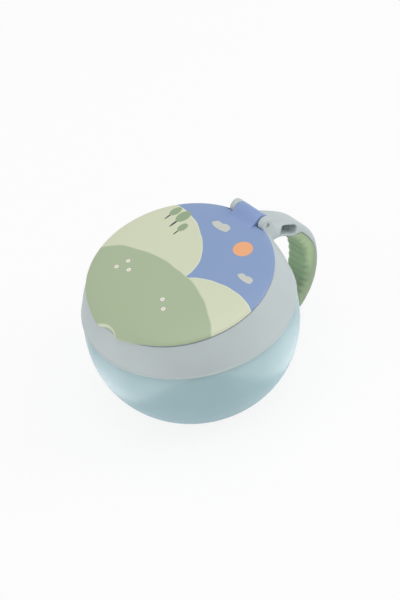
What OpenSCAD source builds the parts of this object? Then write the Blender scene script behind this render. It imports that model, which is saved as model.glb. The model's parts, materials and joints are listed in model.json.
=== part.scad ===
// Snack cup for a toddler: a round bowl, a screw-on collar with a looped handle,
// a soft guard of flaps in its mouth, and a domed lid hinged above the handle.
// Millimetres. The origin is the centre of the bowl's flat base, +Z is up,
// and +Y points from the bowl's axis to the handle.

/* [Bowl] */
// Radius of the bowl at its widest
bowl_r = 50; // [46:0.5:56]
// Height of the widest circle above the base
belly_z = 40; // [36:0.5:44]
// Radius of the flat base
base_r = 28; // [22:0.5:34]
// Squareness of the bowl's curve below the belly, 2 is an ellipse
belly_power = 2.2; // [2:0.05:2.6]
// Wall of the bowl
bowl_wall = 2.2; // [1.6:0.1:3]
// Floor of the bowl
bowl_floor = 2.6; // [2:0.1:4]
// Wall of the threaded neck
neck_wall = 2; // [1.6:0.1:2.6]
// Half height of the curve between the belly and the shoulder
shoulder_h = 42; // [38:0.5:50]
// Bevel on the neck's upper edge
neck_bevel = 0.4; // [0.2:0.1:0.6]

/* [Thread] */
// Rise of the thread in one turn
thread_lead = 8; // [7:0.25:8.5]
// Height of a thread ridge across its root
ridge_root = 1.8; // [1.4:0.1:2]
// Height of a thread ridge across its crest
ridge_crest = 0.8; // [0.5:0.1:1]
// Clearance between a crest and the wall that it faces
thread_clear = 0.5; // [0.35:0.05:0.6]
// How far the ridges of the bowl and the collar reach past each other
thread_grip = 0.8; // [0.5:0.05:1]
// Plain height between the bowl's top ridge and the neck's edge
ridge_over = 0.6; // [0.5:0.1:1.2]
// Plain height between the collar's lowest ridge and the bowl's shoulder
ridge_under = 1.06; // [0.5:0.02:1.2]

/* [Collar] */
// How far the collar's dome would stand out past the bowl at the belly
collar_step = 0.4; // [0.2:0.1:0.8]
// Half height of the collar's dome
collar_crown = 56; // [52:0.5:62]
// Height of the collar's lower lip above the belly
lip_rise = 9; // [8:0.25:10]
// Width of the flat on the lower lip
lip_flat = 1.4; // [1:0.1:1.8]
// Wall of the threaded skirt at its top
skirt_wall = 1.7; // [1.4:0.1:2.2]
// Wall of the collar's dome, measured level
collar_wall = 2.3; // [1.8:0.1:3]
// Thickness of the inner flange over the flap guard
flange_t = 1.9; // [1.5:0.1:2.2]
// Radius of the mouth inside the flange
mouth_r = 37.5; // [35:0.25:39]
// Room between the lid's skirt and the flange, at the front
seam_room = 0.45; // [0.3:0.05:1.5]
// Slope of the lid seam, high at the hinge
lid_tilt = 5.3; // [3:0.1:6]

/* [Lid] */
// Rise of the lid's dome
lid_dome = 4.2; // [3.5:0.1:6.5]
// Squareness of the lid's dome
dome_power = 2.3; // [2:0.1:3.2]
// Height of the lid's upright edge
lid_edge = 0.5; // [0.4:0.1:1.5]
// Thickness of the lid
lid_t = 2.1; // [1.6:0.1:2.6]
// Depth of the skirt that drops inside the collar
skirt_d = 1.3; // [0.8:0.1:1.5]
// Thickness of the skirt
skirt_t = 1.6; // [1.2:0.1:2]
// Width of the tab at the lid's front
tab_w = 34; // [24:0.5:40]
// How far the tab stands out past the lid's edge
tab_out = 1.3; // [0.8:0.1:2]
// Rise of the tab above the lid's edge
tab_rise = 3.2; // [2.6:0.1:3.4]
// Width of the thumb scoop in the tab
scoop_w = 13.5; // [10:0.5:18]
// Depth of the thumb scoop
scoop_d = 2.4; // [1.4:0.1:2.8]
// Thickness of the printed film
film_t = 0.25; // [0.15:0.05:0.4]
// Bare rim outside the printed film
film_margin = 0.5; // [0.3:0.1:1.5]
// Bare strip between the printed film and the tongue
tongue_margin = 0.5; // [0.5:0.25:3]
// Radius of the snap bead on the skirt
bead_r = 0.5; // [0.3:0.05:0.7]
// How far the snap bead stands out of the skirt
bead_out = 0.2; // [0.1:0.05:0.25]

/* [Hinge] */
// Radius of the hinge barrel
barrel_r = 3.6; // [3.2:0.1:4]
// Radius of the hinge pin
pin_r = 1.2; // [0.8:0.05:1.3]
// Running clearance of the pin in the lid's knuckle
pin_clear = 0.06; // [0.03:0.01:0.1]
// Width of the lid's knuckle
knuckle_w = 15; // [12:0.5:18]
// Width of each ear
ear_w = 3.4; // [3:0.1:4.5]
// Depth of each ear's foot below the hinge axis
ear_depth = 9; // [8:0.25:10]
// How far each ear's foot spreads behind the barrel
ear_spread = 1.6; // [1:0.1:2.2]
// How far the pin's ends lie inside the ears' outer faces
pin_recess = 0.6; // [0.3:0.1:1.2]
// Height of the hinge axis above the seam's rear edge
axis_rise = 1.7; // [1.4:0.1:2.2]
// How far the hinge axis lies behind the seam's rear edge
axis_back = 1.1; // [0.6:0.1:1.4]
// Length of the tongue from the hinge axis to the lid's dome
tongue_l = 8; // [6:0.2:10]
// Fall of the tongue's top from the barrel to the lid's dome
tongue_drop = 2.4; // [0.6:0.1:2.6]

/* [Handle] */
// Distance from the bowl's widest circle to the middle of the handle
handle_reach = 19.7; // [17:0.1:24]
// Drop of the handle's farthest place below the belly
reach_drop = 4; // [2:0.5:8]
// Height of the handle's tip above the base, at its middle
tip_z = 8; // [8:0.2:14]
// Distance from the bowl's widest circle to the handle's tip
tip_out = 2.4; // [0:0.2:5]
// Drop of the handle's root below the lid seam
root_drop = 1.9; // [1.5:0.1:3]
// Depth at which the handle's middle line starts inside the collar
root_sink = 2.7; // [2:0.1:4]
// Width of the handle along the hinge
handle_w = 14.5; // [11:0.5:16]
// Width of the handle where it leaves the collar
root_w = 22; // [18:0.5:22.5]
// Thickness of the handle
handle_t = 7.6; // [7:0.2:10]
// Length of the strap slot
slot_l = 12.2; // [8:0.2:13]
// Height of the strap slot
slot_h = 4.6; // [3.6:0.1:5]
// Radius of the strap slot's corners
slot_corner = 1.4; // [0.6:0.1:1.8]
// Lift of the strap slot above the handle's middle line
slot_lift = 0.2; // [0:0.1:0.5]
// Thickness of the soft grip
grip_t = 1.6; // [1.2:0.1:2]
// Number of ribs on the grip
grip_ribs = 13; // [9:1:17]
// Height of the ribs
rib_h = 0.6; // [0.3:0.1:0.8]

/* [Flap guard] */
// Number of flaps
flap_count = 8; // [8:1:8]
// Distance from the axis to the fold of each flap
fold_r = 28.4; // [26:0.2:29.5]
// Thickness of the flaps
flap_t = 1.2; // [0.8:0.1:1.4]
// Width of the slits between the flaps
slit_w = 0.6; // [0.4:0.05:0.9]
// Thickness of the guard's rim between the bowl and the collar
rim_t = 1.6; // [1.4:0.1:2]
// Depth of the guard's plug inside the neck
plug_d = 1.8; // [1:0.1:2.4]
// Wall of the guard's plug
plug_t = 1.3; // [1:0.1:1.6]
// Depth of the flaps below the rim's upper face
flap_sink = 0.2; // [0.1:0.05:0.5]

/* [Hidden] */
$fn = 96;
far = 2 * bowl_r;

// Clearances between pieces that move past each other
gap = 0.3;
lip_gap = 0.5;
flange_gap = 0.1;
hinge_gap = 0.4;
lap = 0.5;
over = 1;

// Thread: two starts, with the collar's ridges half a pitch under the bowl's
starts = 2;
bowl_ridge_span = 200;
collar_ridge_span = 180;
collar_ridge_lag = 45;
half_pitch = thread_lead / starts / 2;
bowl_ridge_rise = thread_lead * bowl_ridge_span / 360;
ridge_h = thread_clear + thread_grip;
ridge_step = 8;
ridge_fade = 3;
ridge_low = 0.2;

// Bowl
bowl_drop = belly_z / pow(1 - pow(base_r / bowl_r, belly_power), 1 / belly_power);
lip_z = belly_z + lip_rise;
shoulder_z = lip_z - lip_gap;
neck_h = ridge_over + ridge_root + bowl_ridge_rise + half_pitch + ridge_under;
rim_z = shoulder_z + neck_h;
bowl_ridge_z = rim_z - ridge_over - ridge_root / 2 - bowl_ridge_rise;
curve_n = 22;
dome_n = 24;
shoulder_n = 8;
inner_n = 12;

// Collar
collar_r = bowl_r + collar_step;
guard_top = rim_z + rim_t;
flange_z = guard_top + flange_gap;
flange_top = flange_z + flange_t;
skirt_bore = dome_r(flange_z) - skirt_wall;
bore_rise = 2.6;
dome_rise = 8;
neck_r = skirt_bore - ridge_h - thread_clear;
neck_in = neck_r - neck_wall;

// Lid seam: the plane's cut through the dome is close to a circle about seam_mid
slope = tan(lid_tilt);
seam_low = flange_top + skirt_d + seam_room;
seam_z = seam_low + slope * dome_r(seam_low);
dome_top = seam_z + dome_rise;
cut_k = 1 / pow(collar_r, 2) + pow(slope / collar_crown, 2);
seam_dz = seam_z - belly_z;
seam_y = -slope * seam_dz / pow(collar_crown, 2) / cut_k;
seam_half = sqrt(pow(seam_y, 2) - (pow(seam_dz / collar_crown, 2) - 1) / cut_k);
seam_r = seam_half / cos(lid_tilt);
seam_mid = [0, seam_y, seam_z + slope * seam_y];
skirt_r = seam_r - collar_wall - 2 * gap;
dome_base = gap + lid_edge;
tab_sag = seam_r - sqrt(pow(seam_r, 2) - pow(tab_w / 2, 2)) + tab_out;
tab_r = arc_r(tab_w, tab_sag);
tab_y = tab_r - seam_r - tab_out;
scoop_r = arc_r(scoop_w, scoop_d);
bead_angle = 30;

// Hinge
axis_y = seam_y + seam_half + axis_back;
axis_z = seam_z + slope * (axis_y - axis_back) + axis_rise;
ear_in = knuckle_w / 2 + gap;
ear_out = ear_in + ear_w;
ear_nose = 0.4;
ear_chin = 1.6;
ear_heel = 0.5;
tongue_heel = 2.6;
tongue_under = 1.2;
tongue_n = 6;

// Handle: two curves through named places, both upright where they meet
root_z = seam_z - root_drop;
path_root = [dome_r(root_z) - root_sink, root_z];
path_mid = [bowl_r + handle_reach, belly_z - reach_drop];
path_tip = [bowl_r + tip_out, tip_z];
root_pull = [14.5, -5.6];
mid_pull_up = [0, 15.5];
mid_pull_down = [0, -14];
tip_pull = [11, 4.2];
path_a = [path_root, path_root + root_pull, path_mid + mid_pull_up, path_mid];
path_b = [path_mid, path_mid + mid_pull_down, path_tip + tip_pull, path_tip];
section_power = 4;
root_blend = 0.42;
tip_round = 0.12;
tip_blunt = 0.9;
slot_s = 0.362;
arc_n = 12;

// Grip: where it starts and ends on the handle, and how its edge climbs the side
grip_start = 0.5;
grip_end = 1.86;
grip_step = 0.004;
split_low = -0.86;
split_mid = 0.09;
split_high = 0.64;
split_rise = 0.12;
split_wait = 0.18;
split_run = 0.49;
split_lap = 3;
rib_steps = 4;
grip_n = grip_ribs * rib_steps;
rib_fade = 6;
root_n = 13;
tip_n = 8;

// Flap guard
flap_z = guard_top - flap_sink - flap_t / 2;
ring_in = fold_r + flap_t / 2 + gap;
web_in = fold_r - 2 * flap_t;
rim_out = skirt_bore - 2 * gap;
plug_r = neck_in - gap;
ledge_out = 1;
ledge_in = 0.5;
flap_half = 180 / flap_count;

function dome_r(z) = collar_r * sqrt(1 - pow((z - belly_z) / collar_crown, 2));
function arc_r(width, depth) = (pow(width / 2, 2) + pow(depth, 2)) / (2 * depth);
function spow(v, p) = sign(v) * pow(abs(v), p);
function ramp(u) = u <= 0 ? 0 : u >= 1 ? 1 : u * u * (3 - 2 * u);
function bezier(p, t) =
    pow(1 - t, 3) * p[0] + 3 * pow(1 - t, 2) * t * p[1] + 3 * (1 - t) * t * t * p[2] + pow(t, 3) * p[3];
function bezier_dir(p, t) =
    let (d = (1 - t) * (1 - t) * (p[1] - p[0]) + 2 * (1 - t) * t * (p[2] - p[1]) + t * t * (p[3] - p[2]))
    d / norm(d);

// Curve of the bowl below its belly, from height z_low up to the belly
function belly_curve(r, drop, z_low) =
    let (start = asin(pow((belly_z - z_low) / drop, belly_power / 2)))
    [for (i = [0:curve_n])
        let (a = start * (1 - i / curve_n))
        [r * pow(cos(a), 2 / belly_power), belly_z - drop * pow(sin(a), 2 / belly_power)]];

// One thread ridge as a closed solid, its crest fading in and out
module thread_ridge(root, crest, z, start, span) {
    steps = ceil(span / ridge_step);
    inward = crest < root;
    points = [for (i = [0:steps])
        let (
            a = span * i / steps,
            f = max(ridge_low, min(1, i / ridge_fade, (steps - i) / ridge_fade)),
            r = root + (crest - root) * f,
            mid = z + thread_lead * a / 360
        )
        for (p = [
            [root, mid - ridge_root / 2], [r, mid - ridge_crest / 2],
            [r, mid + ridge_crest / 2], [root, mid + ridge_root / 2]
        ])
            [p[0] * cos(start + a), p[0] * sin(start + a), p[1]]];
    sides = [for (i = [0:steps - 1], j = [0:3])
        let (a = 4 * i + j, b = 4 * i + (j + 1) % 4)
        for (f = [[a, b, b + 4], [a, b + 4, a + 4]]) inward ? [f[2], f[1], f[0]] : f];
    low = [[3, 2, 1], [3, 1, 0]];
    high = [for (f = low) [for (k = [2, 1, 0]) f[k] + 4 * steps]];
    ends = [for (f = concat(low, high)) inward ? [f[2], f[1], f[0]] : f];
    polyhedron(points, concat(sides, ends), convexity = 8);
}

module ridge_pair(root, crest, z, lag, span) {
    for (i = [0:starts - 1])
        thread_ridge(root, crest, z + thread_lead * lag / 360, i * 360 / starts + lag, span);
}

module bowl() {
    inner_r = bowl_r - bowl_wall;
    inner_drop = bowl_drop - bowl_wall;
    outside = belly_curve(bowl_r, bowl_drop, 0);
    shoulder = [for (i = [1:shoulder_n])
        let (z = belly_z + (shoulder_z - belly_z) * i / shoulder_n)
        [bowl_r * sqrt(1 - pow((z - belly_z) / shoulder_h, 2)), z]];
    neck = [
        [neck_r, shoulder_z], [neck_r, rim_z - neck_bevel], [neck_r - neck_bevel, rim_z], [neck_in, rim_z]
    ];
    inner_shoulder = [for (i = [inner_n:-1:1])
        let (a = 90 * i / inner_n)
        [
            neck_in + (inner_r - neck_in) * pow(cos(a), 0.5),
            belly_z + (shoulder_z - bowl_wall - belly_z) * pow(sin(a), 0.5)
        ]];
    inside = belly_curve(inner_r, inner_drop, bowl_floor);
    inside_down = [for (i = [curve_n:-1:0]) inside[i]];
    color("#9fc4c9") {
        rotate_extrude()
            polygon(concat(
                [[0, 0]], outside, shoulder, neck, inner_shoulder, inside_down, [[0, bowl_floor]]
            ));
        ridge_pair(neck_r - lap, neck_r + ridge_h, bowl_ridge_z, 0, bowl_ridge_span);
    }
}

// Half plane above the lid seam, as a block
module above_seam() {
    translate(seam_mid) rotate([lid_tilt, 0, 0]) translate([-far, -far, 0]) cube([2 * far, 2 * far, far]);
}

// Outer line of the collar's dome
function dome_side() =
    [for (i = [0:dome_n]) let (z = lip_z + (dome_top - lip_z) * i / dome_n) [dome_r(z), z]];

// Solid inside the collar's outer surface
module dome_solid() {
    rotate_extrude() polygon(concat([[0, lip_z]], dome_side(), [[0, dome_top]]));
}

module collar_shell() {
    inside = [for (i = [dome_n:-1:0])
        let (z = flange_top + (dome_top - flange_top) * i / dome_n)
        [dome_r(z) - collar_wall, z]];
    flange = [
        [mouth_r, flange_top], [mouth_r, flange_z], [skirt_bore, flange_z],
        [skirt_bore, lip_z + bore_rise], [dome_r(lip_z) - lip_flat, lip_z]
    ];
    difference() {
        rotate_extrude() polygon(concat(dome_side(), inside, flange));
        above_seam();
    }
}

// Bar along the hinge axis between two places on X
module hinge_bar(r, x_from, x_to) {
    translate([x_from, axis_y, axis_z]) rotate([0, 90, 0]) cylinder(r = r, h = x_to - x_from);
}

// Side outline, drawn in Y and Z, made solid between two places on X
module side_plate(x_from, x_to) {
    translate([x_from, 0, 0]) rotate([90, 0, 90]) linear_extrude(x_to - x_from) children();
}

// Room for the lid's knuckle, cut from what lies round it
module knuckle_room() {
    hinge_bar(barrel_r + hinge_gap, -ear_in, ear_in);
}

// One ear, solid: a barrel on the hinge axis and a foot that runs down into the collar
module ear(side) {
    x_from = side > 0 ? ear_in : -ear_out;
    foot_z = axis_z - ear_depth;
    hinge_bar(barrel_r, x_from, x_from + ear_w);
    side_plate(x_from, x_from + ear_w)
        polygon([
            [axis_y - barrel_r + ear_nose, axis_z - ear_chin], [axis_y + barrel_r, axis_z],
            [axis_y + barrel_r + ear_spread, foot_z], [axis_y + ear_heel, foot_z]
        ]);
}

module collar() {
    color("#bcc5c5") {
        difference() {
            union() {
                difference() {
                    collar_shell();
                    knuckle_room();
                }
                for (side = [-1, 1]) ear(side);
            }
            hinge_bar(pin_r, -ear_out - over, ear_out + over);
        }
        ridge_pair(
            skirt_bore + lap, skirt_bore - ridge_h,
            bowl_ridge_z - half_pitch, collar_ridge_lag, collar_ridge_span
        );
    }
}

// Place on the handle's middle line, 0 at the root and 2 at the tip
function path_at(s) = s < 1 ? bezier(path_a, s) : bezier(path_b, s - 1);
function path_dir(s) = s < 1 ? bezier_dir(path_a, s) : bezier_dir(path_b, s - 1);

// Half width and half thickness at s, round at the tip
function tip_scale(s) =
    s > 2 - tip_round ? sqrt(1 - tip_blunt * pow((s - 2 + tip_round) / tip_round, 2)) : 1;
function half_w(s) = tip_scale(s) * (handle_w + (root_w - handle_w) * (1 - ramp(s / root_blend))) / 2;
function half_t(s) = tip_scale(s) * handle_t / 2;

// Share of the section's half thickness at which the grip's edge lies on the side
function split_at(s) =
    split_low + (split_mid - split_low) * ramp((s - grip_start) / split_rise)
    + (split_high - split_mid) * ramp((s - grip_start - split_wait) / split_run);
function split_angle(s) = asin(spow(split_at(s), section_power / 2));

// Point of the section at angle a, drawn in by inset and pushed out by bump
function section_point(s, a, inset, bump) =
    let (
        c = path_at(s),
        d = path_dir(s),
        n = [-d[1], d[0]],
        u = (half_w(s) - inset) * spow(cos(a), 2 / section_power),
        v = (half_t(s) - inset) * spow(sin(a), 2 / section_power) - bump
    )
    [u, c[0] + n[0] * v, c[1] + n[1] * v];

function outer_arc(s) = let (a = split_angle(s)) [for (i = [0:arc_n]) a + (180 - 2 * a) * i / arc_n];
function inner_arc(s, lap_angle) =
    let (a = split_angle(s), from = 180 - a + lap_angle, to = 360 + a - lap_angle)
    [for (i = [0:arc_n]) from + (to - from) * i / arc_n];

// Stations along the grip, shared by the handle's core under it
function grip_at(i) = grip_start + grip_step + (grip_end - grip_start - grip_step) * i / grip_n;

// Triangles between rings of count points, in a closed loop round each ring. The grip's
// lining runs the other way round, so it takes the other diagonal to match the core.
function tube_faces(rings, count, other) = [for (i = [0:rings - 2], j = [0:count - 1])
    let (a = i * count + j, b = i * count + (j + 1) % count, c = a + count, d = b + count)
    for (f = other ? [[a, c, d], [a, d, b]] : [[a, c, b], [b, c, d]]) f];

module handle_core() {
    count = 2 * arc_n + 2;
    stations = concat(
        [for (i = [0:root_n]) [grip_start * i / root_n, 0]],
        [for (i = [0:grip_n]) [grip_at(i), grip_t]],
        [for (i = [0:tip_n]) [grip_end + grip_step + (2 - grip_end - grip_step) * sin(90 * i / tip_n), 0]]
    );
    rings = len(stations);
    points = [for (st = stations)
        for (p = concat(
            [for (a = outer_arc(st[0])) section_point(st[0], a, 0, 0)],
            [for (a = inner_arc(st[0], split_lap)) section_point(st[0], a, st[1], 0)]
        )) p];
    root_end = [[for (j = [0:count - 1]) j]];
    tip_end = [[for (j = [count - 1:-1:0]) (rings - 1) * count + j]];
    polyhedron(points, concat(tube_faces(rings, count, false), root_end, tip_end), convexity = 8);
}

// Strap slot through the handle, lying along it
module strap_slot() {
    along = path_dir(slot_s);
    side_plate(-root_w, root_w)
        translate(path_at(slot_s) + [0, slot_lift]) rotate(atan2(along[1], along[0])) {
            square([slot_l - 2 * slot_corner, slot_h], center = true);
            square([slot_l, slot_h - 2 * slot_corner], center = true);
            for (sx = [-1, 1], sy = [-1, 1])
                translate([sx * (slot_l / 2 - slot_corner), sy * (slot_h / 2 - slot_corner)])
                    circle(slot_corner, $fn = 32);
        }
}

module handle() {
    color("#c1cac9") difference() {
        handle_core();
        dome_solid();
        strap_slot();
        knuckle_room();
        for (side = [-1, 1]) ear(side);
    }
}

// Soft grip over the inner face and sides of the handle, with ribs across it
module handle_grip() {
    side_n = arc_n + 1;
    count = 2 * side_n;
    points = [for (i = [0:grip_n])
        let (
            s = grip_at(i),
            wave = 0.5 - 0.5 * cos(360 * i / rib_steps),
            rib = rib_h * wave * ramp(i / rib_fade) * ramp((grip_n - i) / rib_fade),
            lining = inner_arc(s, split_lap)
        )
        for (p = concat(
            [for (a = inner_arc(s, 0)) section_point(s, a, 0, rib * max(0, -sin(a)))],
            [for (j = [arc_n:-1:0]) section_point(s, lining[j], grip_t, 0)]
        )) p];
    cap = [for (j = [0:arc_n - 1])
        for (f = [[j, j + 1, count - 1 - j], [j + 1, count - 2 - j, count - 1 - j]]) f];
    far_cap = [for (f = cap) [f[2] + grip_n * count, f[1] + grip_n * count, f[0] + grip_n * count]];
    color("#94aa84")
        polyhedron(points, concat(tube_faces(grip_n + 1, count, true), cap, far_cap), convexity = 8);
}

module hinge_pin() {
    color("#c9cccb") hinge_bar(pin_r, pin_recess - ear_out, ear_out - pin_recess);
}

module lid_place() {
    translate(seam_mid) rotate([lid_tilt, 0, 0]) children();
}

// Dome line of the lid from the middle to the edge, sunk by a depth
function dome_line(r, rise, base) = [for (i = [0:curve_n])
    let (a = 90 * i / curve_n)
    [r * pow(sin(a), 2 / dome_power), base + rise * pow(cos(a), 2 / dome_power)]];

// Part of a line of points within a radius, closed straight down to the lid's underside
function clipped(line, r) = concat([for (p = line) if (p[0] < r) p], [[r, dome_base], [r, gap]]);

// Cuts for the thumb at the front and for the collar's ears at the back
module lid_cuts(extra) {
    lid_place()
        translate([0, scoop_d - seam_r - tab_out - scoop_r, -far / 2])
            cylinder(r = scoop_r + extra, h = far);
    for (side = [-1, 1])
        hinge_bar(
            barrel_r + hinge_gap,
            side > 0 ? knuckle_w / 2 - extra : -ear_out - hinge_gap,
            side > 0 ? ear_out + hinge_gap : -knuckle_w / 2 + extra
        );
}

// Outer form of the lid above its seam, with the tab at the front, drawn in by an
// inset all round and lifted by a skin's thickness
module lid_form(inset, skin) {
    rotate_extrude()
        polygon(concat(clipped(dome_line(seam_r, lid_dome, dome_base + skin), seam_r - inset), [[0, gap]]));
    translate([0, tab_y, 0]) rotate_extrude()
        polygon(concat(clipped(dome_line(tab_r, tab_rise, dome_base + skin), tab_r - inset), [[0, gap]]));
}

module lid() {
    inner_r = skirt_r - skirt_t;
    inner_line = dome_line(inner_r, lid_dome + lid_edge - lid_t, gap);
    inner_up = [for (i = [curve_n:-1:0]) inner_line[i]];
    color("#8fa3cb") difference() {
        union() {
            difference() {
                lid_place() {
                    difference() {
                        union() {
                            lid_form(0, 0);
                            translate([0, 0, -skirt_d]) cylinder(r = skirt_r, h = skirt_d + lid_edge);
                        }
                        rotate_extrude()
                            polygon(concat([[0, -skirt_d - over], [inner_r, -skirt_d - over]], inner_up));
                    }
                    rotate([0, 0, -90 - bead_angle / 2]) rotate_extrude(angle = bead_angle)
                        translate([skirt_r - bead_r + bead_out, bead_r - skirt_d]) circle(bead_r, $fn = 24);
                }
                lid_cuts(0);
            }
            hinge_bar(barrel_r, -knuckle_w / 2, knuckle_w / 2);
            side_plate(-knuckle_w / 2, knuckle_w / 2)
                polygon(concat(
                    [for (i = [0:tongue_n])
                        let (u = i / tongue_n)
                        [axis_y - tongue_l * u, axis_z + barrel_r - tongue_drop * ramp(u)]],
                    [
                        [axis_y - tongue_l, axis_z], [axis_y - tongue_heel, axis_z - tongue_under],
                        [axis_y, axis_z - tongue_under]
                    ]
                ));
        }
        hinge_bar(pin_r + pin_clear, -ear_in, ear_in);
    }
}

module lid_film() {
    color("#a9b995") difference() {
        lid_place() difference() {
            lid_form(film_margin, film_t);
            lid_form(0, 0);
        }
        lid_cuts(film_margin);
        translate([-knuckle_w / 2 - gap, axis_y - tongue_l - tongue_margin, 0])
            cube([knuckle_w + 2 * gap, far, 2 * far]);
    }
}

module flap_ring() {
    web_low = flap_z - flap_t / 2;
    web_high = flap_z + flap_t / 2;
    plug_in = plug_r - plug_t;
    plug_z = rim_z - plug_d;
    color("#e3ebea") difference() {
        rotate_extrude()
            polygon([
                [web_in, web_low], [plug_in, web_low], [plug_in, plug_z], [plug_r, plug_z], [plug_r, rim_z],
                [rim_out, rim_z], [rim_out, guard_top], [mouth_r + ledge_out, guard_top],
                [mouth_r - ledge_in, web_high], [web_in, web_high]
            ]);
        translate([0, 0, web_low - over]) rotate(flap_half + 90) linear_extrude(flap_t + 2 * over)
            circle(ring_in / cos(flap_half), $fn = flap_count);
    }
}

// One soft flap: a wedge with a round bead along its fold
module flap(i) {
    fold_half = fold_r * tan(flap_half) - slit_w / 2 / cos(flap_half);
    color("#dce7e6") rotate(-i * 2 * flap_half) {
        translate([0, 0, flap_z - flap_t / 2]) linear_extrude(flap_t)
            polygon([[-fold_half, fold_r], [fold_half, fold_r], [0, slit_w / 2 / sin(flap_half)]]);
        translate([-fold_half, fold_r, flap_z]) rotate([0, 90, 0])
            cylinder(r = flap_t / 2, h = 2 * fold_half, $fn = 32);
    }
}

bowl();
collar();
handle();
handle_grip();
hinge_pin();
lid();
lid_film();
flap_ring();
flap(0);  // flap_1
flap(1);  // flap_2
flap(2);  // flap_3
flap(3);  // flap_4
flap(4);  // flap_5
flap(5);  // flap_6
flap(6);  // flap_7
flap(7);  // flap_8
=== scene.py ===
import json
import math

import bmesh
import bpy
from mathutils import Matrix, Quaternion, Vector

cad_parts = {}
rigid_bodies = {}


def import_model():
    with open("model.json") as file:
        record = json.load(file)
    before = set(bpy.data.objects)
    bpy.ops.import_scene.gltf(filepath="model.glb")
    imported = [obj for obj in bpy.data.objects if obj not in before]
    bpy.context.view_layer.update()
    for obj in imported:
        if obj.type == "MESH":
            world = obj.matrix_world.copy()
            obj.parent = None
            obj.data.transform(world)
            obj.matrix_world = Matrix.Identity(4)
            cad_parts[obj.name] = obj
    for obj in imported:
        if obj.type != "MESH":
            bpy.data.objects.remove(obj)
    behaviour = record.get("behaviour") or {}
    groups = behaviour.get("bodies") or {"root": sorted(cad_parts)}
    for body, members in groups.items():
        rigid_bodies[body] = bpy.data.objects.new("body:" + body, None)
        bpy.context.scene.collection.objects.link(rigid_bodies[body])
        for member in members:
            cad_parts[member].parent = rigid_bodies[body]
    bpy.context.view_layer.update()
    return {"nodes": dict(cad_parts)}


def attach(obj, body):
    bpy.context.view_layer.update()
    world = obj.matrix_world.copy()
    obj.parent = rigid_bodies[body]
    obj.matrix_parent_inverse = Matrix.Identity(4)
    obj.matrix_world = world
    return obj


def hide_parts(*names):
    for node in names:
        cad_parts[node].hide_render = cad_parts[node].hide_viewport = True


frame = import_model()
bpy.ops.object.select_all(action="DESELECT")
scene = bpy.context.scene
print("frame loaded:", len(frame["nodes"]), "nodes")

mm = 0.001
turnSteps = 144  # steps of a full turn in every lathed piece
room = {"seam": 0.3, "hinge": 0.4}  # clearances between the parts, in mm


# Selecting, modifiers and placing

def pickOnly(piece):
    bpy.ops.object.select_all(action="DESELECT")
    piece.select_set(True)
    bpy.context.view_layer.objects.active = piece


def finishWith(piece, kind, **settings):  # one modifier, added and applied
    pickOnly(piece)
    made = piece.modifiers.new(kind.title(), kind)
    for key, value in settings.items():
        setattr(made, key, value)
    bpy.ops.object.modifier_apply(modifier=made.name)
    return piece


def roundEdges(piece, width, segments, angle):  # bevels the edges sharper than the angle, width in mm
    return finishWith(piece, "BEVEL", width=width * mm, segments=segments, limit_method="ANGLE",
                      angle_limit=math.radians(angle))


def combine(piece, tool, operation="DIFFERENCE"):  # boolean with a second mesh, which is used up
    finishWith(piece, "BOOLEAN", operation=operation, object=tool, solver="EXACT")
    bpy.data.objects.remove(tool)
    return piece


def settle(piece, place=(0, 0, 0), turn=(0, 0, 0)):  # place in mm, turn in degrees, both put into the mesh
    pickOnly(piece)
    piece.location = [v * mm for v in place]
    piece.rotation_euler = [math.radians(v) for v in turn]
    bpy.ops.object.transform_apply(location=True, rotation=True, scale=True)
    return piece


def mergeClose(piece, threshold=0.004):  # closes the hairline steps that booleans leave
    pickOnly(piece)
    bpy.ops.object.mode_set(mode="EDIT")
    bpy.ops.mesh.select_mode(type="VERT")
    bpy.ops.mesh.select_all(action="SELECT")
    bpy.ops.mesh.remove_doubles(threshold=threshold * mm)
    bpy.ops.mesh.dissolve_degenerate(threshold=threshold * mm)
    bpy.ops.mesh.normals_make_consistent(inside=False)
    bpy.ops.object.mode_set(mode="OBJECT")
    return piece


def pickFaces(piece, test):  # edit mode with only the faces that pass the test
    pickOnly(piece)
    bpy.ops.object.mode_set(mode="EDIT")
    bpy.ops.mesh.select_mode(type="FACE")
    bpy.ops.mesh.select_all(action="DESELECT")
    sketch = bmesh.from_edit_mesh(piece.data)
    for face in sketch.faces:
        face.select_set(bool(test(face.calc_center_median() / mm, face.normal)))
    bmesh.update_edit_mesh(piece.data)


def smoothShade(piece, angle=32):
    pickOnly(piece)
    bpy.ops.object.shade_smooth_by_angle(angle=math.radians(angle))
    return piece


# Lines of points and the shapes made from them

def startLine(name, points):  # a plane merged to one vertex, then extruded from point to point
    bpy.ops.mesh.primitive_plane_add(size=mm, location=(0, 0, 0))
    piece = bpy.context.object
    piece.name = name
    bpy.ops.object.mode_set(mode="EDIT")
    bpy.ops.mesh.select_mode(type="VERT")
    bpy.ops.mesh.select_all(action="SELECT")
    bpy.ops.mesh.merge(type="CENTER")
    bpy.ops.transform.translate(value=[v * mm for v in points[0]])
    for before, after in zip(points, points[1:]):
        step = [(b - a) * mm for a, b in zip(before, after)]
        bpy.ops.mesh.extrude_region_move(TRANSFORM_OT_translate={"value": step})
    bpy.ops.mesh.select_all(action="SELECT")
    return piece


def lathe(name, profile, closed=True):  # profile of (radius, height) in mm, spun about Z
    line = [(r, 0, z) for r, z in profile]
    piece = startLine(name, line + line[:1] if closed else line)
    bpy.ops.mesh.remove_doubles(threshold=0.0005 * mm)
    bpy.ops.mesh.spin(steps=turnSteps, angle=2 * math.pi, center=(0, 0, 0), axis=(0, 0, 1))
    bpy.ops.mesh.select_all(action="SELECT")
    bpy.ops.mesh.remove_doubles(threshold=0.0005 * mm)
    bpy.ops.mesh.normals_make_consistent(inside=False)
    bpy.ops.object.mode_set(mode="OBJECT")
    return piece


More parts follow.
